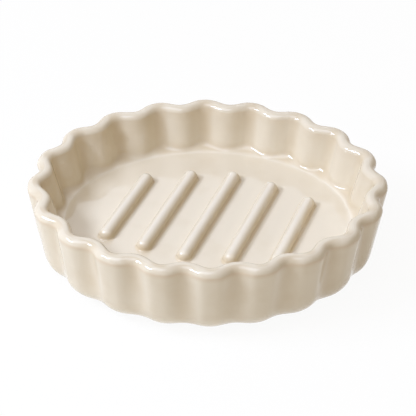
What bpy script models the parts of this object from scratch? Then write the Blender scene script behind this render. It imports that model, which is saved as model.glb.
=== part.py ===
"""A fluted oval soap saver: one glazed stoneware dish with raised ribs, standing on four stick-on pads.

Metres, +Z up. The origin is on the surface that the dish stands on, under the middle of the oval.
The long axis lies along X. Heights in the dish's section are measured from the underside of its foot ring.
"""

import math

import bmesh
import bpy
import numpy as np
from mathutils import Matrix, Vector

# Outline at its widest, crest to crest
LENGTH = 0.1300
WIDTH = 0.1111
QUARTER_TRIM = 0.0003  # how far the oval lies inside a true ellipse, halfway between its axes

# Flutes, as crest-to-valley depths
FLUTES = 20
FLUTE_POINTS = 8
CROWDING_SHARE = 0.3  # how much closer than evenly the points lie in the valleys
VALLEY_SHARE = 0.085  # second harmonic of the wave, which broadens its crests and sharpens its valleys
RIM_FLUTE_DEPTH = 0.00305
FOOT_FLUTE_DEPTH = 0.00127
WALL_FOOT_FLUTE_DEPTH = 0.0024

# Section through the wall, from the rim outwards and down
BODY_HEIGHT = 0.0315
RIM_THICKNESS = 0.0052
RIM_ROUND_SHARE = 0.96  # of half the rim's thickness
WALL_LEAN = 0.0050  # how far the outer wall leans in from the rim to the foot
HEEL_RADIUS = 0.0118

# Section through the inside, from the rim down to the floor
FLOOR_HEIGHT = 0.0151
INNER_LEAN = 0.0045  # how far the inner wall leans in from the rim to the cove
COVE_WIDTH = 0.0026
COVE_RISE = 0.0009
WALL_FOOT_RADIUS = 0.0016
FLOOR_EDGE_RADIUS = 0.0030

# Underside
FLOOR_THICKNESS = 0.0058
FOOT_RING_WIDTH = 0.0088
FOOT_RING_RADIUS = 0.0008
RECESS_LEAN = 0.0020
RECESS_RADIUS = 0.0035

# Ribs, raised from the floor
RIB_LENGTHS = (0.0561, 0.0508, 0.0415)  # the middle rib, the next one on each side, and the outer ones
RIB_TURN = math.radians(68.6)  # direction of the middle rib, from +X
RIB_FAN = math.radians(0.7)  # how much further each rib turns than the one on its left
RIB_ROW_TURN = math.radians(-14.7)  # direction of the row of their middles
RIB_SPACING = 0.0155  # middle to middle along the row
RIB_ROW_SHIFT = 0.0006  # how far the row is moved to the right
RIB_ROW_SAG = 0.0019  # how far the outer ribs' middles lie in front of a straight row
RIB_WIDTH = 0.0052
RIB_HEIGHT = 0.0035
RIB_FILLET = 0.0008
RIB_ROOT = 0.0015  # how deep a rib's solid reaches into the floor

# Stick-on pads under the foot ring
PAD_DIAMETER = 0.0080
PAD_THICKNESS = 0.0015
PAD_EDGE_RADIUS = 0.0004
PAD_GLUE = 0.0003
PAD_ARC_SHARE = 0.11  # of the way round the oval, from each end of its long axis
PAD_SIDES = 24

ARC_SAG = 0.00006  # how far a facet may lie from the arc that it stands for
RIB_END_STEPS = 6
OUTLINE_STEPS = 4000
SHARP_ANGLE = math.radians(35)
WELD = 1e-6

RIM_WAVE = RIM_FLUTE_DEPTH / 2
RIM_RADIUS = RIM_THICKNESS / 2 * RIM_ROUND_SHARE
LEAN_ANGLE = math.atan2(WALL_LEAN, BODY_HEIGHT)
RIM_SETBACK = RIM_RADIUS * ((1 + math.sin(LEAN_ANGLE)) / math.cos(LEAN_ANGLE) - 1)  # lost to the rim's rounding
CREST = RIM_WAVE * (1 - VALLEY_SHARE) - RIM_SETBACK
HALF_LENGTH = LENGTH / 2 - CREST
HALF_WIDTH = WIDTH / 2 - CREST
WALL_FOOT_MARGIN = RIM_THICKNESS + INNER_LEAN
FLOOR_MARGIN = WALL_FOOT_MARGIN + COVE_WIDTH
FOOT_MARGIN = WALL_LEAN + HEEL_RADIUS * math.tan(math.pi / 4 - LEAN_ANGLE / 2)
RECESS_MARGIN = FOOT_MARGIN + FOOT_RING_WIDTH
STAND_OFF = PAD_THICKNESS + PAD_GLUE


def clear_scene():
    for obj in list(bpy.data.objects):
        bpy.data.objects.remove(obj, do_unlink=True)


def material(name, colour, roughness, coat=0.0):
    """A Principled material with one colour and finish."""
    made = bpy.data.materials.new(name)
    made.use_nodes = True
    shader = made.node_tree.nodes["Principled BSDF"]
    shader.inputs["Base Color"].default_value = (*colour, 1.0)
    shader.inputs["Roughness"].default_value = roughness
    shader.inputs["Coat Weight"].default_value = coat
    return made


def cream_glaze():
    return material("cream_glaze", (0.78, 0.70, 0.58), roughness=0.12, coat=0.6)


def pad_silicone():
    return material("pad_silicone", (0.72, 0.71, 0.68), roughness=0.45)


def oval():
    """The flutes' mid-line: the turn from +X, the place and the run along the line, at points all round it."""
    turn = np.linspace(0, 2 * math.pi, OUTLINE_STEPS + 1)
    trim = QUARTER_TRIM * np.sin(2 * turn) ** 2
    x = (HALF_LENGTH - trim) * np.cos(turn)
    y = (HALF_WIDTH - trim) * np.sin(turn)
    run = np.concatenate([[0], np.cumsum(np.hypot(np.diff(x), np.diff(y)))])
    return turn, x, y, run


def oval_at(way_round):
    """The point of the mid-line at each share of the way round it, and its outward normal."""
    turn, x, y, run = oval()
    share = run / run[-1]
    at = np.mod(way_round, 1.0)
    point = np.stack([np.interp(at, share, x), np.interp(at, share, y)], axis=-1)
    step_x = np.interp(at, share, np.gradient(x, turn))
    step_y = np.interp(at, share, np.gradient(y, turn))
    normal = np.stack([step_y, -step_x], axis=-1) / np.hypot(step_x, step_y)[..., None]
    return point, normal


def arc_steps(radius, turn):
    """How many facets an arc takes to stay within the sag."""
    return max(1, math.ceil(turn / (2 * math.acos(1 - ARC_SAG / radius))))


def rounded(corners):
    """An open run of (margin, height, wave, radius) corners as (margin, height, wave) points, with arcs at them.

    margin is how far in from the mid-line a point lies, and wave is half the flutes' depth there.
    """
    points = [Vector(corners[0][:3])]
    for before, corner, after in zip(corners, corners[1:], corners[2:]):
        here = Vector(corner[:3])
        radius = corner[3]
        if not radius:
            points.append(here)
            continue
        back = Vector(before[:3]) - here
        ahead = Vector(after[:3]) - here
        turn = math.pi - back.xy.angle(ahead.xy)
        reach = radius * math.tan(turn / 2)
        start = here + back * (reach / back.xy.length)
        end = here + ahead * (reach / ahead.xy.length)
        inward = (back.xy.normalized() + ahead.xy.normalized()).normalized()
        centre = here.xy + inward * (radius / math.cos(turn / 2))
        arm = start.xy - centre
        side = math.copysign(1, arm.x * (end.y - centre.y) - arm.y * (end.x - centre.x))
        steps = arc_steps(radius, turn)
        for step in range(steps + 1):
            share = step / steps
            swung = centre + Matrix.Rotation(side * turn * share, 2) @ arm
            points.append(Vector((swung.x, swung.y, start.z + (end.z - start.z) * share)))
    points.append(Vector(corners[-1][:3]))
    return points


def dish_section():
    """The dish's section, from inside its floor's edge, up over the rim and down to the recess in its underside."""
    plain = 0
    foot_wave = FOOT_FLUTE_DEPTH / 2
    ceiling = FLOOR_HEIGHT - FLOOR_THICKNESS
    return rounded([
        (FLOOR_MARGIN + COVE_WIDTH, FLOOR_HEIGHT, plain, 0),
        (FLOOR_MARGIN, FLOOR_HEIGHT, plain, FLOOR_EDGE_RADIUS),
        (WALL_FOOT_MARGIN, FLOOR_HEIGHT + COVE_RISE, WALL_FOOT_FLUTE_DEPTH / 2, WALL_FOOT_RADIUS),
        (RIM_THICKNESS, BODY_HEIGHT, RIM_WAVE, RIM_RADIUS),
        (0, BODY_HEIGHT, RIM_WAVE, RIM_RADIUS),
        (WALL_LEAN, 0, foot_wave, HEEL_RADIUS),
        (FOOT_MARGIN, 0, foot_wave, 0),
        (RECESS_MARGIN, 0, plain, FOOT_RING_RADIUS),
        (RECESS_MARGIN + RECESS_LEAN, ceiling, plain, RECESS_RADIUS),
        (RECESS_MARGIN + RECESS_LEAN + RECESS_RADIUS * 2, ceiling, plain, 0),
    ])


def loft(mesh, rings):
    """Joins rings of points, each as long as the last, and closes both ends."""
    rows = [[mesh.verts.new(point) for point in ring] for ring in rings]
    for low, high in zip(rows, rows[1:]):
        for i in range(len(low)):
            j = (i + 1) % len(low)
            mesh.faces.new((low[i], low[j], high[j], high[i]))
    mesh.faces.new(reversed(rows[0]))
    mesh.faces.new(rows[-1])


def make_object(name, mesh, finish):
    """An object from a bmesh, with its faces turned outwards and its round stretches shaded smooth."""
    bmesh.ops.remove_doubles(mesh, verts=mesh.verts, dist=WELD)
    bmesh.ops.recalc_face_normals(mesh, faces=mesh.faces)
    data = bpy.data.meshes.new(name)
    mesh.to_mesh(data)
    mesh.free()
    data.shade_smooth()
    data.set_sharp_from_angle(angle=SHARP_ANGLE)
    data.materials.append(finish)
    obj = bpy.data.objects.new(name, data)
    bpy.context.scene.collection.objects.link(obj)
    return obj


def fluted_ring(margin, half_depth):
    """A closed row of points round the dish, a margin in from the flutes' mid-line, with the flutes' wave in it.

    As much of the margin as the rim is thick is measured square to the flutes, so the wall is as thick on a flute's
    flanks as on its crest, and the rest square to the oval.
    """
    per_turn = 2 * math.pi * FLUTES
    evenly = np.arange(FLUTES * FLUTE_POINTS) / (FLUTES * FLUTE_POINTS)
    way_round = evenly + CROWDING_SHARE * np.sin(per_turn * evenly) / per_turn
    point, normal = oval_at(way_round)
    along = np.stack([-normal[:, 1], normal[:, 0]], axis=-1)
    swing = per_turn * way_round
    wave = np.cos(swing) - VALLEY_SHARE * np.cos(2 * swing)
    climb = 2 * VALLEY_SHARE * np.sin(2 * swing) - np.sin(swing)
    slope = half_depth * climb * per_turn / oval()[-1][-1]
    facing = (normal - along * slope[:, None]) / np.hypot(1, slope)[:, None]
    square = min(margin, RIM_THICKNESS)
    return point + normal * (half_depth * wave - margin + square)[:, None] - facing * square


def fluted_body(finish):
    """The casting without its ribs: the section carried round the oval."""
    rings = []
    for margin, height, half_depth in dish_section():
        rings.append([(x, y, height) for x, y in fluted_ring(margin, half_depth)])
    mesh = bmesh.new()
    loft(mesh, rings)
    return make_object("dish", mesh, finish)


def rib_section():
    """Half-widths and heights of a rib from its root to its ridge: a fillet at the floor, then a round top."""
    half = RIB_WIDTH / 2
    shoulder = max(RIB_HEIGHT - half, RIB_FILLET)
    quarter = math.pi / 2
    foot_steps = arc_steps(RIB_FILLET, quarter)
    foot = [quarter * step / foot_steps for step in range(foot_steps)]
    top_steps = arc_steps(half, quarter)
    top = [quarter * step / top_steps for step in range(top_steps + 1)]
    section = [(half + RIB_FILLET, -RIB_ROOT)]
    section += [(half + RIB_FILLET * (1 - math.sin(a)), RIB_FILLET * (1 - math.cos(a))) for a in foot]
    section += [(half * math.cos(a), shoulder + half * math.sin(a)) for a in top]
    return section


def add_rib(mesh, place):
    """One rib, as rings of a round-ended outline that narrows to a ridge. place counts from the middle rib."""
    along_row = Vector((math.cos(RIB_ROW_TURN), math.sin(RIB_ROW_TURN), 0)) * RIB_SPACING * place
    sag = RIB_ROW_SAG * (place / (len(RIB_LENGTHS) - 1)) ** 2
    middle = along_row + Vector((RIB_ROW_SHIFT, -sag, FLOOR_HEIGHT))
    turned = Matrix.Rotation(RIB_TURN + RIB_FAN * place, 3, "Z")
    half_run = (RIB_LENGTHS[abs(place)] - RIB_WIDTH) / 2
    rings = []
    for half_width, height in rib_section():
        ring = []
        for end in (1, -1):
            for step in range(RIB_END_STEPS + 1):
                angle = math.pi * (step / RIB_END_STEPS - 1 / 2)
                across = end * half_width * math.sin(angle)
                out = end * (half_run + half_width * math.cos(angle))
                ring.append(middle + turned @ Vector((out, across, height)))
        rings.append(ring)
    loft(mesh, rings)


def add_ribs(dish, finish):
    """Joins the ribs to the dish's floor. Their solids stay as a hidden guide."""
    mesh = bmesh.new()
    outermost = len(RIB_LENGTHS) - 1
    for place in range(-outermost, outermost + 1):
        add_rib(mesh, place)
    ribs = make_object("rib_guide", mesh, finish)
    ribs.hide_render = True
    ribs.display_type = "WIRE"
    union = dish.modifiers.new("ribs", "BOOLEAN")
    union.operation = "UNION"
    union.object = ribs
    return ribs


def pad_section():
    """Radii and heights of a pad from the surface that it stands on up to its glued face."""
    radius = PAD_DIAMETER / 2
    quarter = math.pi / 2
    steps = arc_steps(PAD_EDGE_RADIUS, quarter)
    turns = [quarter * step / steps for step in range(steps + 1)]
    edge = [(radius - PAD_EDGE_RADIUS * (1 - math.sin(a)), PAD_EDGE_RADIUS * (1 - math.cos(a))) for a in turns]
    return edge + [(radius, PAD_THICKNESS)]


def add_pad(name, place, finish):
    """A round pad with a soft lower edge."""
    mesh = bmesh.new()
    turns = [2 * math.pi * side / PAD_SIDES for side in range(PAD_SIDES)]
    loft(mesh, [[(r * math.cos(a), r * math.sin(a), height) for a in turns] for r, height in pad_section()])
    pad = make_object(name, mesh, finish)
    pad.location = (*place, 0)


def add_pads(finish):
    """Four pads on the middle line of the foot ring's flat, two towards each end of the oval."""
    names = ("pad_back_right", "pad_back_left", "pad_front_left", "pad_front_right")
    shares = (PAD_ARC_SHARE, 1 / 2 - PAD_ARC_SHARE, 1 / 2 + PAD_ARC_SHARE, -PAD_ARC_SHARE)
    point, normal = oval_at(np.array(shares))
    ring_middle = FOOT_MARGIN + FOOT_RING_WIDTH / 2
    for name, place in zip(names, point - normal * ring_middle):
        add_pad(name, place, finish)


def main():
    clear_scene()
    glaze = cream_glaze()
    dish = fluted_body(glaze)
    ribs = add_ribs(dish, glaze)
    dish.location.z = STAND_OFF
    ribs.location.z = STAND_OFF
    add_pads(pad_silicone())


main()
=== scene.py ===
# %% [markdown]
# # A fluted oval soap saver, dressed
# The object is a stoneware soap saver: an oval dish with a fluted wall, glazed cream, with five slanted
# ribs raised from its floor to keep the bar out of the water. It stands on a foot ring with four stick-on
# pads. Its construction comes packed, as a fixed frame. This script gives it its fine surface, its
# finishes, its light and its camera, so the first step loads that frame and keeps its parts, whose sizes
# later steps read.

# %% Load the frame
import math

import bpy
import numpy as np
from mathutils import Euler, Matrix, Vector


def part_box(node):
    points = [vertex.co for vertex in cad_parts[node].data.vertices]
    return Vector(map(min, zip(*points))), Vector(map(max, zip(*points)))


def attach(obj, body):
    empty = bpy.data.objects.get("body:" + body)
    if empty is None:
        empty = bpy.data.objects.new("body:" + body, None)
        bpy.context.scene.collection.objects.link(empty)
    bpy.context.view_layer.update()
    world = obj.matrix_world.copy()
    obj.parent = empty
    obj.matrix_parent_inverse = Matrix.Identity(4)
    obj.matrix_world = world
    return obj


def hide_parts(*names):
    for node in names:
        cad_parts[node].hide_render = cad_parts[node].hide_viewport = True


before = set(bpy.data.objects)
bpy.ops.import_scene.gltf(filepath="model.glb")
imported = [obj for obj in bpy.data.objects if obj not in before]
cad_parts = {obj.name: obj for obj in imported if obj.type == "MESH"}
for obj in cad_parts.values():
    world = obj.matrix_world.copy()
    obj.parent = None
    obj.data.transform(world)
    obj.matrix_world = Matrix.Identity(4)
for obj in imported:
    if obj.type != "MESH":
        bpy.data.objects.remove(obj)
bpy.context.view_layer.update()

# %% [markdown]
# ## The camera
# The photograph was taken from the front and about 36 degrees above level, with a long lens, which keeps
# the oval's far side nearly as wide as its near side. A camera can be placed by eye, but here the dish's
# outline fixes it closely, so its direction, distance and roll are written as plain values. The lens is
# given by its focal length in pixels, and the small shift puts the dish where the photograph has it.

# %% The camera's place and lens
PICTURE = 416
SENSOR = 36
ELEVATION = math.radians(35.788)
AZIMUTH = math.radians(-1.623)
ROLL = math.radians(0.774)
DISTANCE = 0.8585
FOCAL_PIXELS = 2366.3
CENTRE_PIXEL = (207.446, 216.586)
TARGET = Vector((0, 0, 0.01756))

flat_way = Vector((math.cos(AZIMUTH), math.sin(AZIMUTH), 0))
level_way = Vector((math.sin(AZIMUTH), -math.cos(AZIMUTH), 0))
back_way = level_way * math.cos(ELEVATION) + Vector((0, 0, math.sin(ELEVATION)))
up_way = back_way.cross(flat_way)
camera_right = flat_way * math.cos(ROLL) + up_way * math.sin(ROLL)
camera_up = up_way * math.cos(ROLL) - flat_way * math.sin(ROLL)

bpy.ops.object.camera_add()
camera = bpy.context.object
camera.data.sensor_width = SENSOR
camera.data.lens = FOCAL_PIXELS * SENSOR / PICTURE
camera.data.shift_x = (PICTURE / 2 - CENTRE_PIXEL[0]) / PICTURE
camera.data.shift_y = (CENTRE_PIXEL[1] - PICTURE / 2) / PICTURE
turned = Matrix((camera_right, camera_up, back_way)).transposed().to_4x4()
camera.matrix_world = Matrix.Translation(TARGET + back_way * DISTANCE) @ turned
bpy.context.scene.camera = camera
print("lens:", round(camera.data.lens, 1), "mm")

# %% [markdown]
# ## Small helpers
# Operators work on what is selected, just as they do by hand, so each step starts by deselecting
# everything. These helpers do what a modeller does with a click: they pick one object, pick the vertices
# that lie somewhere, and go into edit mode and out of it.


# %% Helpers for picking
def pick(*objects):
    """Selects these objects alone, and makes the first the active one."""
    bpy.ops.object.select_all(action="DESELECT")
    for obj in objects:
        obj.select_set(True)
    bpy.context.view_layer.objects.active = objects[0]


def pick_vertices(obj, wanted):
    """Selects the vertices for which wanted(place) is true, and nothing else."""
    mesh = obj.data
    for parts in (mesh.polygons, mesh.edges, mesh.vertices):
        parts.foreach_set("select", [False] * len(parts))
    for vertex in mesh.vertices:
        vertex.select = bool(wanted(vertex.co))


def edit(obj):
    """Opens edit mode on one object."""
    pick(obj)
    bpy.ops.object.mode_set(mode="EDIT")


def leave():
    """Closes edit mode."""
    bpy.ops.object.mode_set(mode="OBJECT")


# %% [markdown]
# ## Values that ride on the mesh
# Some finishes follow the shape: glaze runs off a sharp edge and gathers in a hollow. Painted shade in the
# hollows and painted highlights on some edges follow the shape too, and ride along with them. They could be
# painted by hand, but a mesh can carry such a value at each of its points, as an attribute, and then it
# fits the shape exactly. What is written on a drawn line stays on it when the line is spun, so a value
# that is set at a point of the section ends up all the way round the dish.


# %% Helpers for attributes
def write_values(obj, name, values):
    """Stores one number for each vertex."""
    mesh = obj.data
    layer = mesh.attributes.get(name) or mesh.attributes.new(name, "FLOAT", "POINT")
    layer.data.foreach_set("value", np.asarray(values, dtype=np.float32))


def read_values(obj, name):
    """The number that each vertex carries under this name."""
    values = np.zeros(len(obj.data.vertices), np.float32)
    obj.data.attributes[name].data.foreach_get("value", values)
    return values


def read_places(obj):
    """Where each vertex is, one row each."""
    places = np.zeros(len(obj.data.vertices) * 3, np.float32)
    obj.data.vertices.foreach_get("co", places)
    return places.reshape(-1, 3).astype(float)


def write_places(obj, places):
    """Moves each vertex to its row."""
    obj.data.vertices.foreach_set("co", np.asarray(places, np.float32).ravel())
    obj.data.update()


# %% [markdown]
# ## The dish's section
# A potter would turn this shape against a template. The same can be done here: draw the template once,
# from the floor's edge up the inner wall, over the rim, down the outside, under the heel and the foot
# ring, and into the recess below, and then spin it. Each corner has a radius, because glaze never leaves
# a sharp edge. The heights of the rim and the foot come from the frame, and the rest are the sizes that
# the piece was designed with.

# %% Sizes of the section
dish_low, dish_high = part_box("dish")
FLOOR_RISE = 0.0151
FLOOR_THICKNESS = 0.0058
RIM_HEIGHT = dish_high.z
FOOT_HEIGHT = dish_low.z
FLOOR_TOP = FOOT_HEIGHT + FLOOR_RISE
RECESS_CEILING = FLOOR_TOP - FLOOR_THICKNESS

RIM_THICKNESS = 0.0052
RIM_RADIUS = 0.0025
WALL_LEAN = 0.0050
HEEL_RADIUS = 0.0118
INNER_LEAN = 0.0045
COVE_WIDTH = 0.0026
COVE_RISE = 0.0009
WALL_FOOT_RADIUS = 0.0030
FLOOR_EDGE_RADIUS = 0.0012
FOOT_RING_WIDTH = 0.0088
FOOT_RING_RADIUS = 0.0008
RECESS_LEAN = 0.0020
RECESS_RADIUS = 0.0035

wall_angle = math.atan2(WALL_LEAN, RIM_HEIGHT - FOOT_HEIGHT)
WALL_FOOT_MARGIN = RIM_THICKNESS + INNER_LEAN
FLOOR_MARGIN = WALL_FOOT_MARGIN + COVE_WIDTH
FOOT_MARGIN = WALL_LEAN + HEEL_RADIUS * math.tan(math.pi / 4 - wall_angle / 2)
RECESS_MARGIN = FOOT_MARGIN + FOOT_RING_WIDTH
print("the rim stands", round((RIM_HEIGHT - FLOOR_TOP) * 1000, 1), "mm over the floor")

# %% [markdown]
# ### Its corners
# The flutes are deepest at the rim and fade out towards the foot and the floor, so each corner of the
# template also says how far the flutes swing there, which is half their depth from crest to valley. A
# corner is its margin, counted inwards from the flutes' mid-line, its height, that swing, and the radius
# that rounds it.

# %% The corners of the section
RIM_SWING = 0.00305 / 2
WALL_FOOT_SWING = 0.0024 / 2
FOOT_SWING = 0.00127 / 2

corners = [
    (FLOOR_MARGIN + COVE_WIDTH, FLOOR_TOP, 0, 0),
    (FLOOR_MARGIN, FLOOR_TOP, 0, FLOOR_EDGE_RADIUS),
    (WALL_FOOT_MARGIN, FLOOR_TOP + COVE_RISE, WALL_FOOT_SWING, WALL_FOOT_RADIUS),
    (RIM_THICKNESS, RIM_HEIGHT, RIM_SWING, RIM_RADIUS),
    (0, RIM_HEIGHT, RIM_SWING, RIM_RADIUS),
    (WALL_LEAN, FOOT_HEIGHT, FOOT_SWING, HEEL_RADIUS),
    (FOOT_MARGIN, FOOT_HEIGHT, FOOT_SWING, 0),
    (RECESS_MARGIN, FOOT_HEIGHT, 0, FOOT_RING_RADIUS),
    (RECESS_MARGIN + RECESS_LEAN, RECESS_CEILING, 0, RECESS_RADIUS),
    (RECESS_MARGIN + RECESS_LEAN + 2 * RECESS_RADIUS, RECESS_CEILING, 0, 0),
]
print("corners of the section:", len(corners))

# %% [markdown]
# ### Drawing with extrude and spin
# A plane whose corners are merged leaves one vertex, which is the pen's point. Extrude draws a straight
# run from it, and spin swings it round a centre, which gives a true arc where a vertex bevel would only
# come near one. Straight runs are drawn in short steps, because the flutes' swing changes along them.

# %% The pen
ARC_STEP = math.radians(7)
FEWEST_ARC_STEPS = 2
LONGEST_RUN = 0.0016


def start_pen(name, start):
    """A mesh of one selected vertex, left in edit mode. A drawing's x and y are the mesh's x and z."""
    bpy.ops.object.select_all(action="DESELECT")
    bpy.ops.mesh.primitive_plane_add(size=LONGEST_RUN)
    obj = bpy.context.object
    obj.name = name
    edit(obj)
    bpy.ops.mesh.select_all(action="SELECT")
    bpy.ops.mesh.merge(type="CENTER")
    bpy.ops.transform.translate(value=(start.x, 0, start.y))
    leave()
    edit(obj)
    return obj


def draw_straight(start, end):
    """Draws from start to end in equal runs, and gives how many."""
    runs = math.ceil((end - start).length / LONGEST_RUN)
    step = (end - start) / max(runs, 1)
    for _ in range(runs):
        bpy.ops.mesh.extrude_region_move(TRANSFORM_OT_translate={"value": (step.x, 0, step.y)})
    return runs


def draw_arc(centre, turn):
    """Swings the pen's point round a centre, and gives in how many steps."""
    steps = max(FEWEST_ARC_STEPS, math.ceil(abs(turn) / ARC_STEP))
    bpy.ops.mesh.spin(steps=steps, angle=turn, center=(centre.x, 0, centre.y), axis=(0, 1, 0))
    return steps


def corner_arc(before, corner, after, radius):
    """Where a rounded corner's arc starts and ends, its centre, and its turn."""
    towards_before = (before - corner).normalized()
    towards_after = (after - corner).normalized()
    turn = math.pi - towards_before.angle(towards_after)
    reach = radius * math.tan(turn / 2)
    centre = corner + (towards_before + towards_after).normalized() * (radius / math.cos(turn / 2))
    side = math.copysign(1, towards_before.x * towards_after.y - towards_before.y * towards_after.x)
    return corner + towards_before * reach, corner + towards_after * reach, centre, -side * turn


# %% [markdown]
# ### From corner to corner
# A rounded corner is never reached: the line stops short of it, swings round its arc and goes on. Each
# point also notes the swing there, in proportion to how far it lies between two corners. The ribs are
# drawn the same way later, so the pen's whole path is one function.


# %% Draw a line with rounded corners
def draw_section(name, section):
    """Draws corners of (x, y, value, radius), and gives the mesh and the value at each of its points."""
    spots = [Vector(corner[:2]) for corner in section]
    goals = [corner[2] for corner in section]
    radii = [corner[3] for corner in section]
    obj = start_pen(name, spots[0])
    pen, value = spots[0], goals[0]
    values = [value]

    def note(goal, count):
        values.extend(value + (goal - value) * (i + 1) / count for i in range(count))

    for i in range(1, len(section)):
        start = end = spots[i]
        value_in = value_out = goals[i]
        if radii[i]:
            start, end, centre, turn = corner_arc(spots[i - 1], spots[i], spots[i + 1], radii[i])
            share_in = (start - spots[i]).length / (spots[i - 1] - spots[i]).length
            share_out = (end - spots[i]).length / (spots[i + 1] - spots[i]).length
            value_in += (goals[i - 1] - value_in) * share_in
            value_out += (goals[i + 1] - value_out) * share_out
        note(value_in, draw_straight(pen, start))
        pen, value = start, value_in
        if radii[i]:
            note(value_out, draw_arc(centre, turn))
            pen, value = end, value_out
    leave()
    return obj, values


# %% [markdown]
# ### The dish's own line
# The template stands beside the upright axis, at a radius between the oval's long and its short one, so
# the round dish comes out in about the right size before it is pressed into its oval.

# %% Draw the dish's section
TURNED_RADIUS = 0.0640

on_template = [(TURNED_RADIUS - margin, height, swing, radius) for margin, height, swing, radius in corners]
dish, swings = draw_section("glazed_dish", on_template)
write_values(dish, "swing", swings)
print("section:", len(swings), "points, rim at", round(max(read_places(dish)[:, 2]) * 1000, 2), "mm")

# %% [markdown]
# ### Spinning it round
# One spin of the template makes the whole dish as a round one. There are 24 steps to each flute, so that
# its wave reads as a curve even close by. The spin's first and last columns lie on each other, and merging
# them closes the seam.

# %% Spin the section
FLUTES = 20
FLUTE_STEPS = 24
WELD = 1e-6


def spin_round(obj, steps):
    """Spins all of a drawn line once round the upright axis, and closes the seam."""
    edit(obj)
    bpy.ops.mesh.select_all(action="SELECT")
    bpy.ops.mesh.spin(steps=steps, angle=math.tau, center=(0, 0, 0), axis=(0, 0, 1))
    bpy.ops.mesh.select_all(action="SELECT")
    bpy.ops.mesh.remove_doubles(threshold=WELD)
    bpy.ops.mesh.normals_make_consistent(inside=False)
    leave()


spin_round(dish, FLUTES * FLUTE_STEPS)
print("turned dish:", len(dish.data.vertices), "vertices")

# %% [markdown]
# ### From a round dish to a fluted oval
# The real dish comes out of a mould, so its oval and its flutes are one shape. Scaling the round dish
# would stretch the wall's thickness, so each point is moved instead. Its angle says how far round the
# oval it lies, measured along the line, which keeps the flutes equally wide.

# %% The oval
LENGTH = 0.1300
WIDTH = 0.1111
QUARTER_TRIM = 0.0003
VALLEY_SHARE = 0.085
OUTLINE_STEPS = 4000

setback = RIM_RADIUS * ((1 + math.sin(wall_angle)) / math.cos(wall_angle) - 1)
crest = RIM_SWING * (1 - VALLEY_SHARE) - setback
turn = np.linspace(0, math.tau, OUTLINE_STEPS + 1)
trim = QUARTER_TRIM * np.sin(2 * turn) ** 2
oval_x = (LENGTH / 2 - crest - trim) * np.cos(turn)
oval_y = (WIDTH / 2 - crest - trim) * np.sin(turn)
run = np.concatenate([[0], np.cumsum(np.hypot(np.diff(oval_x), np.diff(oval_y)))])


def oval_at(way_round):
    """Points of the flutes' mid-line at shares of the way round it, with their outward normals."""
    share = run / run[-1]
    point = np.stack([np.interp(way_round, share, oval_x), np.interp(way_round, share, oval_y)], axis=-1)
    step_x = np.interp(way_round, share, np.gradient(oval_x, turn))
    step_y = np.interp(way_round, share, np.gradient(oval_y, turn))
    return point, np.stack([step_y, -step_x], axis=-1) / np.hypot(step_x, step_y)[:, None]


print("the oval's line is", round(run[-1] * 1000, 1), "mm round")

# %% [markdown]
# ### The flutes' wave
# The wave pushes each point out or in, from a little under 1 at a crest to a little under -1 in a valley.
# Some of its second harmonic gives it broad crests and tighter valleys. There is more of it outside than
# inside, because the photograph's outer valleys are the tighter ones. The columns of vertices stand
# closer in the valleys, where the curve is tightest.

# %% Work out the wave at each point
CROWDING = 0.2
OUTER_VALLEY_SHARE = 0.210

places = read_places(dish)
height = places[:, 2]
margin = TURNED_RADIUS - np.hypot(places[:, 0], places[:, 1])
outer_margin = WALL_LEAN * (RIM_HEIGHT - height) / (RIM_HEIGHT - FOOT_HEIGHT)
outwards = np.clip(1 - (margin - outer_margin) / (RIM_THICKNESS / 2), 0, 1)
valley_share = VALLEY_SHARE + (OUTER_VALLEY_SHARE - VALLEY_SHARE) * outwards
swing = read_values(dish, "swing")
flute_turn = np.mod(np.arctan2(places[:, 1], places[:, 0]), math.tau) * FLUTES
flute_turn += CROWDING * np.sin(flute_turn)
wave = np.cos(flute_turn) - valley_share * np.cos(2 * flute_turn)
climb = 2 * valley_share * np.sin(2 * flute_turn) - np.sin(flute_turn)
slope = swing * climb * math.tau * FLUTES / run[-1]
print("wave:", round(float(wave.min()), 3), "to", round(float(wave.max()), 3))

# %% [markdown]
# ### Pressing it into shape
# About half the rim's thickness is measured square to the wavy line, like the wall of anything cast in a
# mould, and the rest square to the oval, which leaves the bays and the ridges inside equally round. An
# operator can't move each point its own way, so the new places are worked out together and written back
# to the mesh.

# %% Press the round dish into shape
SQUARE_MARGIN = 0.0028

point, normal = oval_at(flute_turn / (math.tau * FLUTES))
along = np.stack([-normal[:, 1], normal[:, 0]], axis=-1)
facing = (normal - along * slope[:, None]) / np.hypot(1, slope)[:, None]
square = np.minimum(margin, SQUARE_MARGIN)
pressed = point + normal * (swing * wave - margin + square)[:, None] - facing * square[:, None]
write_places(dish, np.column_stack([pressed, height]))
low, high = pressed.min(axis=0) * 1000, pressed.max(axis=0) * 1000
print("fluted oval:", (high - low).round(2), "mm")
print("the frame's dish:", round((dish_high.x - dish_low.x) * 1000, 2), "mm long")

# %% [markdown]
# ### How the glaze lies on it, with painted shade and highlight
# A glaze that melts runs off the rim's shoulders and gathers in the hollows: outside in the valleys,
# inside in the backs of the crests, and along the cove. Where it lies thick it looks more tan, and that
# tan is also painted shade, darkening the hollows and the cove where shade falls. Where it breaks over
# the rim's shoulders the warm clay shines through. The paler band on the floor's edge is partly glaze
# running thin and partly a painted highlight, for the light line along that edge. These are three values
# from 0 to about 1 that the glaze material reads. They could be painted, but the wave and the section
# already say where each belongs.

# %% Where the glaze gathers, breaks and runs thin on the dish, with painted shade and highlight
BREAK_WIDTH = 0.0011
COVE_REACH = 0.0040
THIN_EDGE_AND_HIGHLIGHT_WIDTH = COVE_WIDTH / 3
INSIDE_POOL_AND_SHADE = 0.6
OUTSIDE_POOL_AND_SHADE = 0.45
COVE_POOL_AND_SHADE = 0.6
EDGE_THINNESS_AND_HIGHLIGHT = 0.6


def bump_at(distance, width):
    """1 at distance 0, falling softly to 0 at the width."""
    near = np.clip(1 - np.abs(distance) / width, 0, 1)
    return near * near * (3 - 2 * near)


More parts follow.
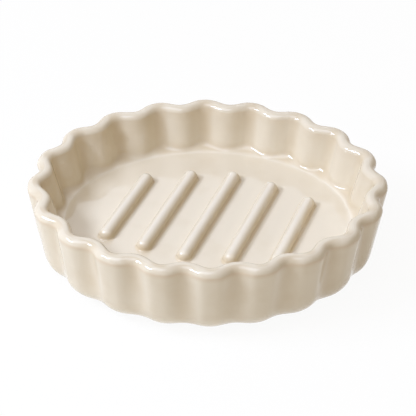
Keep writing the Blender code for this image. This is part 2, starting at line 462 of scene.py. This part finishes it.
inside = (margin > RIM_THICKNESS / 2) & (height > FLOOR_TOP - WELD)
hollow = np.where(inside, wave, -wave) * np.clip(swing / RIM_SWING, 0, 1)
in_cove = bump_at(margin - WALL_FOOT_MARGIN, COVE_REACH) * bump_at(height - FLOOR_TOP, COVE_REACH) * inside
# The tan share in the hollows and the cove is glaze pooling and painted shade together.
wall_pool_and_shade = np.clip(hollow, 0, 1) * np.where(inside, INSIDE_POOL_AND_SHADE, OUTSIDE_POOL_AND_SHADE)
# The pale band on the floor's edge is thin glaze and a painted highlight line together.
on_edge = bump_at(margin - FLOOR_MARGIN, THIN_EDGE_AND_HIGHLIGHT_WIDTH) * inside
write_values(dish, "glaze_pool_and_painted_shade", wall_pool_and_shade + in_cove * COVE_POOL_AND_SHADE)
write_values(dish, "glaze_break", bump_at(RIM_HEIGHT - RIM_RADIUS - height, BREAK_WIDTH))
write_values(dish, "thin_glaze_and_painted_highlight", on_edge * EDGE_THINNESS_AND_HIGHLIGHT)
print("the glaze gathers at", int((wall_pool_and_shade + in_cove > 0).sum()), "of", len(height), "points")

# %% [markdown]
# ## The ribs
# The five ribs are raised from the same clay: round on top, with round ends, and a fillet of glaze at the
# foot. They slant across the dish, fan out a little, and stand in a row whose ends bend towards the
# front. Each could be a swept tube, but its ends would need work of their own, so a rib starts as a
# round button.

# %% Sizes of the ribs
RIB_LENGTHS = (0.0561, 0.0508, 0.0415)
RIB_TURN = math.radians(68.6)
RIB_FAN = math.radians(0.7)
RIB_ROW_TURN = math.radians(-14.7)
RIB_SPACING = 0.0155
RIB_ROW_SHIFT = 0.0006
RIB_ROW_SAG = 0.0019
RIB_WIDTH = 0.0052
RIB_HEIGHT = 0.0035
RIB_FILLET = 0.0008
RIB_BRIM = 0.0004
RIDGE_RING = 0.00004
print("ribs:", 2 * len(RIB_LENGTHS) - 1, "at", RIB_SPACING * 1000, "mm")

# %% [markdown]
# ### A round button
# The button's half section is drawn like the dish's. A thin flat brim round the foot keeps the floor's
# shading flat where the rib joins it. The line stops just short of the axis on top, because many thin
# triangles that meet in one point would pinch the gloss.

# %% Draw the button's section
half_rib = RIB_WIDTH / 2
button_section = [
    (half_rib + RIB_FILLET + RIB_BRIM, 0, 1, 0),
    (half_rib, 0, 1, RIB_FILLET),
    (half_rib, RIB_HEIGHT, 0, half_rib - RIDGE_RING),
    (RIDGE_RING, RIB_HEIGHT, 0, 0),
]
button, _ = draw_section("rib_button", button_section)
reach = read_places(button)[:, 0]
print("button's section:", len(reach), "points")

# %% [markdown]
# ### How the glaze lies on a rib, with painted shade and sheen
# Glaze gathers in the fillet round a rib's foot, and its tan reaches some way up both flanks and onto the
# floor beside the foot as painted shade. It draws thin over the rib's top, which shows as a pale line
# that is also a painted sheen. The values are written on the drawn line, so the spin and the pull carry
# them round and along. A joined mesh has every value at every point, so the dish's other two are written
# as well.

# %% Where the glaze gathers and runs thin on a rib, with painted shade and sheen
RIB_POOL_AND_SHADE = 0.7
RIB_POOL_AND_SHADE_SHARE = 0.6
CREST_THINNESS_AND_SHEEN = 0.8
CREST_SHARE = 0.9

foot = half_rib + RIB_FILLET / 2
# The tan up the rib's flanks and round its foot is glaze pooling and painted shade together.
on_rib = bump_at(reach - foot, half_rib * RIB_POOL_AND_SHADE_SHARE)
on_floor = bump_at(reach - foot, RIB_FILLET / 2 + RIB_BRIM)
write_values(button, "swing", np.zeros(len(reach)))
write_values(button, "glaze_pool_and_painted_shade", np.where(reach < foot, on_rib, on_floor) * RIB_POOL_AND_SHADE)
write_values(button, "glaze_break", np.zeros(len(reach)))
# The pale line along the rib's top is thin glaze and a painted sheen together.
write_values(button, "thin_glaze_and_painted_highlight", bump_at(reach, half_rib * CREST_SHARE) * CREST_THINNESS_AND_SHEEN)
print("the glaze gathers at", int((on_rib + on_floor > 0).sum()), "of", len(reach), "points")

# %% [markdown]
# ### Spinning the button
# The spin leaves a tiny ring open on top, and one face closes it. Turning the button by half a step puts
# no vertex on the line where it is pulled apart later. A turn in a script needs its centre written out,
# because there is no window with a pivot to take it from.

# %% Spin the button and close its top
RIB_STEPS = 48

spin_round(button, RIB_STEPS)
edit(button)
bpy.ops.transform.rotate(value=math.pi / RIB_STEPS, orient_axis="Z", center_override=(0, 0, 0))
leave()
pick_vertices(button, lambda place: place.z > RIB_HEIGHT - WELD)
edit(button)
bpy.ops.mesh.edge_face_add()
leave()
print("button:", len(button.data.vertices), "vertices")

# %% [markdown]
# ### From a button to a rib
# Pulling the button's two halves apart stretches it into a rib of any length and leaves its round ends
# alone, where scaling would stretch them too. The middle rib is the longest, so a rib's length follows
# from how many places it stands from the middle.

# %% Pull the button out into ribs and set them on the floor
outermost = len(RIB_LENGTHS) - 1


def make_rib(rib_place):
    """A rib pulled out of a copy of the button. rib_place counts from the middle rib."""
    mesh = button.data.copy()
    rib = bpy.data.objects.new(f"rib_{rib_place}", mesh)
    bpy.context.scene.collection.objects.link(rib)
    half_run = (RIB_LENGTHS[abs(rib_place)] - RIB_WIDTH) / 2
    for side in (1, -1):
        pick_vertices(rib, lambda place: place.x * side > 0 and abs(place.x) < half_run / 2 + half_rib)
        edit(rib)
        bpy.ops.transform.translate(value=(side * half_run, 0, 0))
        leave()
    along_row = Vector((math.cos(RIB_ROW_TURN), math.sin(RIB_ROW_TURN), 0)) * RIB_SPACING * rib_place
    sag = RIB_ROW_SAG * (rib_place / outermost) ** 2
    rib.location = along_row + Vector((RIB_ROW_SHIFT, -sag, FLOOR_TOP))
    rib.rotation_euler.z = RIB_TURN + RIB_FAN * rib_place
    pick(rib)
    bpy.ops.object.transform_apply(location=True, rotation=True, scale=True)
    return rib


ribs = [make_rib(rib_place) for rib_place in range(-outermost, outermost + 1)]
bpy.data.objects.remove(button)
print("ribs made:", len(ribs))

# %% [markdown]
# ## Closing the floor
# The dish is open where its floor and its recess belong, and each rib is open underneath. A boolean could
# weld closed pieces together, but it can leave slivers along a shallow fillet. Here all are joined into
# one mesh instead, and its open edges are found first: an edge is open when only one face uses it.


# %% Pick the open edges at one height
def pick_open_edges(obj, height):
    """Selects the edges at one height that have a face on one side only, and gives how many."""
    mesh = obj.data
    pick_vertices(obj, lambda place: False)
    faces_at = np.zeros(len(mesh.edges), int)
    for face in mesh.polygons:
        for loop in face.loop_indices:
            faces_at[mesh.loops[loop].edge_index] += 1
    count = 0
    for edge in mesh.edges:
        ends = [mesh.vertices[index].co.z for index in edge.vertices]
        if faces_at[edge.index] == 1 and max(abs(end - height) for end in ends) < WELD:
            edge.select = True
            count += 1
    return count


# %% [markdown]
# ### Join and fill
# The recess gets one face over its loop of edges. What is then still open is the floor's edge and the
# feet of the ribs, and the fill operator closes the flat space between such loops in one go. Edge select
# mode is on meanwhile, because edges are what is picked. The finished dish is shaded smooth all over,
# because its corners are round already.

# %% Join the ribs to the dish and fill what is open
pick(dish, *ribs)
bpy.ops.object.join()
bpy.context.scene.tool_settings.mesh_select_mode = (False, True, False)
print("recess:", pick_open_edges(dish, RECESS_CEILING), "open edges")
edit(dish)
bpy.ops.mesh.edge_face_add()
leave()
print("floor:", pick_open_edges(dish, FLOOR_TOP), "open edges")
edit(dish)
bpy.ops.mesh.fill(use_beauty=True)
bpy.ops.mesh.select_all(action="SELECT")
bpy.ops.mesh.normals_make_consistent(inside=False)
leave()
bpy.context.scene.tool_settings.mesh_select_mode = (True, False, False)
pick(dish)
bpy.ops.object.shade_smooth()
print("dish:", len(dish.data.polygons), "faces, open edges left:", pick_open_edges(dish, FLOOR_TOP))

# %% [markdown]
# ## The pads
# Four stick-on pads of clear silicone keep the wet dish from sliding. Each is a moulded disc with a flat
# sole and a soft lower edge, so a cylinder is a good start, and its lower edge is bevelled round. The
# frame says where each pad sits.

# %% Model the pads
PAD_SIDES = 72
PAD_EDGE_RADIUS = 0.0004
PAD_EDGE_SEGMENTS = 5
SHARP_FROM = math.radians(40)


def make_pad(node):
    """A bevelled disc where the frame has this pad."""
    low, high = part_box(node)
    bpy.ops.object.select_all(action="DESELECT")
    bpy.ops.mesh.primitive_cylinder_add(
        vertices=PAD_SIDES, radius=(high.x - low.x) / 2, depth=high.z - low.z, location=(low + high) / 2)
    pad = bpy.context.object
    pad.name = "grip_" + node
    pick(pad)
    bpy.ops.object.transform_apply(location=True, rotation=True, scale=True)
    pick_vertices(pad, lambda place: place.z < (low.z + high.z) / 2)
    edit(pad)
    bpy.ops.mesh.bevel(offset=PAD_EDGE_RADIUS, segments=PAD_EDGE_SEGMENTS, profile=0.5, affect="EDGES")
    leave()
    pick(pad)
    bpy.ops.object.shade_smooth_by_angle(angle=SHARP_FROM)
    return pad


pad_nodes = sorted(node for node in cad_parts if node.startswith("pad"))
pads = {node: make_pad(node) for node in pad_nodes}
print("pads:", {node: len(pad.data.polygons) for node, pad in pads.items()})

# %% [markdown]
# ## Finishes
# A glaze is glass on clay: the clay gives the colour, and the glass gives the gloss. Glaze, bare clay and
# moulded silicone all have a fine mottle, so that is one node group, placed in each material with its own
# scales. By hand, nodes are added and wired in the editor, and these helpers do the same in one line each.


# %% Helpers for nodes
def new_group(name, inputs, outputs):
    """A node group with these sockets, and its input and output nodes."""
    group = bpy.data.node_groups.new(name, "ShaderNodeTree")
    for socket, kind, value in inputs:
        made = group.interface.new_socket(socket, in_out="INPUT", socket_type=kind)
        made.default_value = value
    for socket, kind in outputs:
        group.interface.new_socket(socket, in_out="OUTPUT", socket_type=kind)
    return group, group.nodes.new("NodeGroupInput"), group.nodes.new("NodeGroupOutput")


def add_node(tree, kind, inputs=None, **settings):
    """A node with its settings, and its inputs set to a value or linked to a socket."""
    node = tree.nodes.new(kind)
    for name, value in settings.items():
        setattr(node, name, value)
    for name, value in (inputs or {}).items():
        if isinstance(value, bpy.types.NodeSocket):
            tree.links.new(value, node.inputs[name])
        else:
            node.inputs[name].default_value = value
    return node


# %% [markdown]
# ### Fine mottle
# Fired and moulded surfaces are never even. Two sizes of noise, one for the cloudy shade of the surface
# and one for its fine grain, come out as values around 0.5. A picture of a surface would show its edges
# and its repeats, and noise has neither. The object's own coordinates keep the pattern fixed to the
# piece.

# %% The mottle group
USUAL_CLOUD_SCALE = 60.0
USUAL_GRAIN_SCALE = 900.0
CLOUD_DETAIL = 3.0
GRAIN_DETAIL = 2.0

mottle, mottle_in, mottle_out = new_group(
    "fine_mottle",
    [("Cloud Scale", "NodeSocketFloat", USUAL_CLOUD_SCALE),
     ("Grain Scale", "NodeSocketFloat", USUAL_GRAIN_SCALE)],
    [("Cloud", "NodeSocketFloat"), ("Grain", "NodeSocketFloat")])
spot = add_node(mottle, "ShaderNodeTexCoord").outputs["Object"]
for output, detail in (("Cloud", CLOUD_DETAIL), ("Grain", GRAIN_DETAIL)):
    scale = mottle_in.outputs[output + " Scale"]
    noise = add_node(mottle, "ShaderNodeTexNoise", {"Vector": spot, "Scale": scale, "Detail": detail})
    mottle.links.new(noise.outputs["Fac"], mottle_out.inputs[output])
print("mottle group:", len(mottle.nodes), "nodes")

# %% [markdown]
# ### Starting a material
# Each material here is a Principled shader, which comes with every new material. It is fed by a mottle
# with its own scales and by the values that ride on the mesh.


# %% Helpers for materials
def new_material(name):
    """A material, its node tree and its Principled shader."""
    material = bpy.data.materials.new(name)
    material.use_nodes = True
    tree = material.node_tree
    return material, tree, tree.nodes["Principled BSDF"]


def use_mottle(tree, cloud_scale, grain_scale):
    """The cloud and the grain of a mottle with these scales."""
    scales = {"Cloud Scale": cloud_scale, "Grain Scale": grain_scale}
    node = add_node(tree, "ShaderNodeGroup", scales, node_tree=mottle)
    return node.outputs["Cloud"], node.outputs["Grain"]


def ride_value(tree, name):
    """The value that the mesh carries under this name."""
    return add_node(tree, "ShaderNodeAttribute", attribute_name=name).outputs["Fac"]


# %% [markdown]
# ### Mixes, sums and bumps
# These three add one node each and give the socket that carries its result, so a material reads from top
# to bottom like a recipe. The Mix node has its share, its colours and its result for several kinds of
# value under the same names, so those for colours are asked for by their number.

# %% Helpers for mixes, sums and bumps
MIX_SHARE = 0
MIX_FIRST_COLOUR = 6
MIX_SECOND_COLOUR = 7
MIX_RESULT_COLOUR = 2


def mix_colour(tree, share, first, second):
    """The first colour where share is 0 and the second where it is 1."""
    inputs = {MIX_SHARE: share, MIX_FIRST_COLOUR: first, MIX_SECOND_COLOUR: second}
    return add_node(tree, "ShaderNodeMix", inputs, data_type="RGBA").outputs[MIX_RESULT_COLOUR]


def calculate(tree, operation, *values, clamp=False):
    """One Math node on sockets or numbers."""
    inputs = dict(enumerate(values))
    return add_node(tree, "ShaderNodeMath", inputs, operation=operation, use_clamp=clamp).outputs["Value"]


def add_bump(tree, height, strength, distance, under=None):
    """The normal of a bump that a value raises, on top of the bump under it."""
    inputs = {"Height": height, "Strength": strength, "Distance": distance}
    if under is not None:
        inputs["Normal"] = under
    return add_node(tree, "ShaderNodeBump", inputs).outputs["Normal"]


# %% [markdown]
# ### Cream glaze
# The glaze is cream, tan where it gathers and where shade is painted into the hollows, the cove and the
# ribs' flanks, pale where it runs thin over the ribs' tops and the floor's edge, which also paints a sheen
# and a highlight line there, and warm where it breaks at the rim's shoulders. A cloudy mottle shifts all
# of it slightly, because no glaze fires even. Two faint bumps, a wide one and a fine one, keep its
# reflections from being as straight as a mirror's. One glossy shader could do it, but here only the coat
# shines: the body under it has no specular, so the colour stays deep beside a clear reflection.

# %% The glaze material
CREAM = (0.805, 0.724, 0.580, 1)
# The tan stands for pooled glaze and painted shade, the pale one for thin glaze and painted highlight.
TAN_POOL_AND_SHADE = (0.570, 0.420, 0.220, 1)
BREAK = (0.700, 0.550, 0.380, 1)
PALE_THIN_GLAZE_AND_HIGHLIGHT = (0.880, 0.815, 0.695, 1)
POOL_AND_SHADE_STRENGTH = 0.6
CLOUD_STRENGTH = 0.50
CLOUD_MIDDLE = 0.5
BREAK_STRENGTH = 0.5
BODY_ROUGHNESS = 0.30
ROUGHNESS_DRIFT = 0.10

glaze, tree, shader = new_material("cream_glaze")
cloud, grain = use_mottle(tree, cloud_scale=90.0, grain_scale=700.0)
# The tan share is glaze pooling and painted shade, with the cloud's drift added.
pool_and_shade = calculate(tree, "MULTIPLY", ride_value(tree, "glaze_pool_and_painted_shade"), POOL_AND_SHADE_STRENGTH)
drift = calculate(tree, "SUBTRACT", cloud, CLOUD_MIDDLE)
cloud_pool_and_shade = calculate(tree, "MULTIPLY_ADD", drift, CLOUD_STRENGTH, pool_and_shade, clamp=True)
broken = calculate(tree, "MULTIPLY", ride_value(tree, "glaze_break"), BREAK_STRENGTH)
colour = mix_colour(tree, cloud_pool_and_shade, CREAM, TAN_POOL_AND_SHADE)
colour = mix_colour(tree, broken, colour, BREAK)
# The pale mix paints a sheen on the ribs' tops and a highlight line on the floor's edge, over thin glaze.
colour = mix_colour(tree, ride_value(tree, "thin_glaze_and_painted_highlight"), colour, PALE_THIN_GLAZE_AND_HIGHLIGHT)
rough = calculate(tree, "MULTIPLY_ADD", cloud, ROUGHNESS_DRIFT, BODY_ROUGHNESS)
wide_bump = add_bump(tree, cloud, strength=0.3, distance=0.00003)
fine_bump = add_bump(tree, grain, strength=0.15, distance=0.00002, under=wide_bump)
tree.links.new(colour, shader.inputs["Base Color"])
tree.links.new(rough, shader.inputs["Roughness"])
tree.links.new(fine_bump, shader.inputs["Normal"])
shader.inputs["Specular IOR Level"].default_value = 0.0
shader.inputs["Coat Weight"].default_value = 1.0
shader.inputs["Coat Roughness"].default_value = 0.02
shader.inputs["Coat IOR"].default_value = 1.6
print("cream glaze:", len(tree.nodes), "nodes")

# %% [markdown]
# ### Bare clay on the foot ring
# A dish is wiped clean of glaze where it stands in the kiln, or it would fuse to the shelf. The ring
# underneath is therefore dull, sandy clay. It is darker where both noises are high, and a finer and
# stronger bump than the glaze has makes it look gritty.

# %% The clay material
CLAY = (0.62, 0.50, 0.37, 1)
DARK_CLAY = (0.50, 0.39, 0.28, 1)

clay, tree, shader = new_material("bare_clay")
cloud, grain = use_mottle(tree, cloud_scale=90.0, grain_scale=1600.0)
specks = calculate(tree, "MULTIPLY", grain, cloud)
sand = add_bump(tree, grain, strength=0.6, distance=0.0001)
tree.links.new(mix_colour(tree, specks, CLAY, DARK_CLAY), shader.inputs["Base Color"])
tree.links.new(sand, shader.inputs["Normal"])
shader.inputs["Roughness"].default_value = 0.85
print("bare clay:", len(tree.nodes), "nodes")

# %% [markdown]
# ### Clear silicone
# The pads are cloudy clear silicone: some light passes through them, the rest scatters, and their skin
# has a fine satin grain. Plain glass would be too clear, so the shader is half see-through and half solid.

# %% The silicone material
SILICONE = (0.86, 0.86, 0.84, 1)
CLOUDY_SILICONE = (0.74, 0.74, 0.71, 1)

silicone, tree, shader = new_material("pad_silicone")
cloud, grain = use_mottle(tree, cloud_scale=400.0, grain_scale=3000.0)
satin = add_bump(tree, grain, strength=0.2, distance=0.00002)
tree.links.new(mix_colour(tree, cloud, SILICONE, CLOUDY_SILICONE), shader.inputs["Base Color"])
tree.links.new(satin, shader.inputs["Normal"])
shader.inputs["Roughness"].default_value = 0.35
shader.inputs["IOR"].default_value = 1.41
shader.inputs["Transmission Weight"].default_value = 0.5
print("silicone:", len(tree.nodes), "nodes")

# %% [markdown]
# ### Putting them on
# The glaze covers the whole dish but for the foot ring's flat. A modeller would pick those faces with a
# click, and here they are picked by their height, because no other face lies that low.

# %% Assign the materials
BARE_CLAY_SLOT = 1

dish.data.materials.append(glaze)
dish.data.materials.append(clay)
ring_faces = [face for face in dish.data.polygons if abs(face.center.z - FOOT_HEIGHT) < WELD]
for face in ring_faces:
    face.material_index = BARE_CLAY_SLOT
for pad in pads.values():
    pad.data.materials.append(silicone)
print("faces of bare clay:", len(ring_faces))

# %% [markdown]
# ## The floor
# The photograph is of the product on white. A white floor that light alone made white would need so much
# of it that the glaze would wash out. So the floor is plain pale paint for the light that the dish sends
# it, and shows mostly its own white to the camera and to reflections. A mask tells the two apart.


# %% A mask for what is seen
def seen_rays(tree):
    """1 for what the camera, a reflection or a clear piece sees, and 0 for light that scatters."""
    rays = add_node(tree, "ShaderNodeLightPath")
    seen = calculate(tree, "MAXIMUM", rays.outputs["Is Camera Ray"], rays.outputs["Is Glossy Ray"])
    return calculate(tree, "MAXIMUM", seen, rays.outputs["Is Transmission Ray"])


# %% [markdown]
# ### Its paint
# The part that is seen adds two shaders: a glow that is nearly white, and a weak paint that makes up the
# rest. Only the weak paint takes the shadow, so the shadow under the dish stays faint.

# %% The floor and its paint
FLOOR_SIZE = 6.0
OWN_WHITE = 0.94
PAINT = (0.95, 0.93, 0.87, 1)
WEAK_PAINT = (1 - OWN_WHITE, 1 - OWN_WHITE, 1 - OWN_WHITE, 1)
WHITE = (1, 1, 1, 1)

bpy.ops.object.select_all(action="DESELECT")
bpy.ops.mesh.primitive_plane_add(size=FLOOR_SIZE)
floor = bpy.context.object
floor.name = "studio_floor"
floor_paint = bpy.data.materials.new("white_floor")
floor_paint.use_nodes = True
tree = floor_paint.node_tree
tree.nodes.clear()
plain = add_node(tree, "ShaderNodeBsdfDiffuse", {"Color": PAINT}).outputs["BSDF"]
weak = add_node(tree, "ShaderNodeBsdfDiffuse", {"Color": WEAK_PAINT}).outputs["BSDF"]
own = add_node(tree, "ShaderNodeEmission", {"Color": WHITE, "Strength": OWN_WHITE}).outputs["Emission"]
shown = add_node(tree, "ShaderNodeAddShader", {0: weak, 1: own}).outputs["Shader"]
choice = add_node(tree, "ShaderNodeMixShader", {0: seen_rays(tree), 1: plain, 2: shown}).outputs["Shader"]
add_node(tree, "ShaderNodeOutputMaterial", {"Surface": choice})
floor.data.materials.append(floor_paint)
print("floor:", floor.dimensions.x, "m wide")

# %% [markdown]
# ## The lamps
# The streaks on the rim's front left and on its far right inner edge are a long low lamp on the left,
# mirrored in the glaze. It also lights one flank of each flute and leaves the other dark. A square lamp
# high up in front, on the left too, lights the floor and the ribs' tops. A very wide and weak one behind
# the dish marks the mirrored wall's edge on the glossy floor. A lamp's level says how brightly it lights
# a white sheet that faces it: at 1 the sheet is just white. Angles are easier to try out than places, so
# each lamp is given by its direction.

# %% Put the lamps in place
AIM = Vector((0, 0, 0.015))
LAMP_DISTANCE = 1.0
COOL_DAYLIGHT = (0.89, 1.00, 1.24)


def add_lamp(name, azimuth, elevation, width, height, level):
    """A soft lamp in a direction from the dish, in degrees, facing it."""
    way = Vector((1, 0, 0))
    way.rotate(Euler((0, -math.radians(elevation), math.radians(azimuth))))
    bpy.ops.object.select_all(action="DESELECT")
    bpy.ops.object.light_add(type="AREA", location=AIM + way * LAMP_DISTANCE)
    lamp = bpy.context.object
    lamp.name = name
    lamp.rotation_euler = way.to_track_quat("Z", "Y").to_euler()
    lamp.data.shape = "RECTANGLE"
    lamp.data.size = width
    lamp.data.size_y = height
    lamp.data.energy = math.pi ** 2 * LAMP_DISTANCE ** 2 * level
    lamp.data.color = COOL_DAYLIGHT
    print(name, "gives", round(lamp.data.energy, 2), "W")


add_lamp("low_left_lamp", azimuth=196, elevation=42, width=0.50, height=0.19, level=0.64)
add_lamp("high_front_lamp", azimuth=232, elevation=66, width=0.70, height=0.70, level=0.35)
add_lamp("low_back_lamp", azimuth=100, elevation=47, width=1.40, height=0.80, level=0.15)

# %% [markdown]
# ## The world
# Warm light from all round fills the shadows, so the shaded flanks are more tan than the lit ones. To the
# camera and to reflections the world is plain white. More lamps could do the filling, but each would
# leave a streak of its own in the glaze.

# %% Make the world
FILL = (0.235, 0.150, 0.022, 1)

world = bpy.data.worlds.new("white_studio")
bpy.context.scene.world = world
world.use_nodes = True
tree = world.node_tree
sky = tree.nodes["Background"]
tree.links.new(mix_colour(tree, seen_rays(tree), FILL, WHITE), sky.inputs["Color"])
sky.inputs["Strength"].default_value = 1.0
bpy.context.scene.view_settings.view_transform = "Standard"
print("world:", len(tree.nodes), "nodes, shown as", bpy.context.scene.view_settings.view_transform)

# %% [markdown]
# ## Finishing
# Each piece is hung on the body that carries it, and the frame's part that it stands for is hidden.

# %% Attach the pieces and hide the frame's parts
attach(dish, "root")
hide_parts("dish")
for node, pad in pads.items():
    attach(pad, "root")
    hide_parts(node)
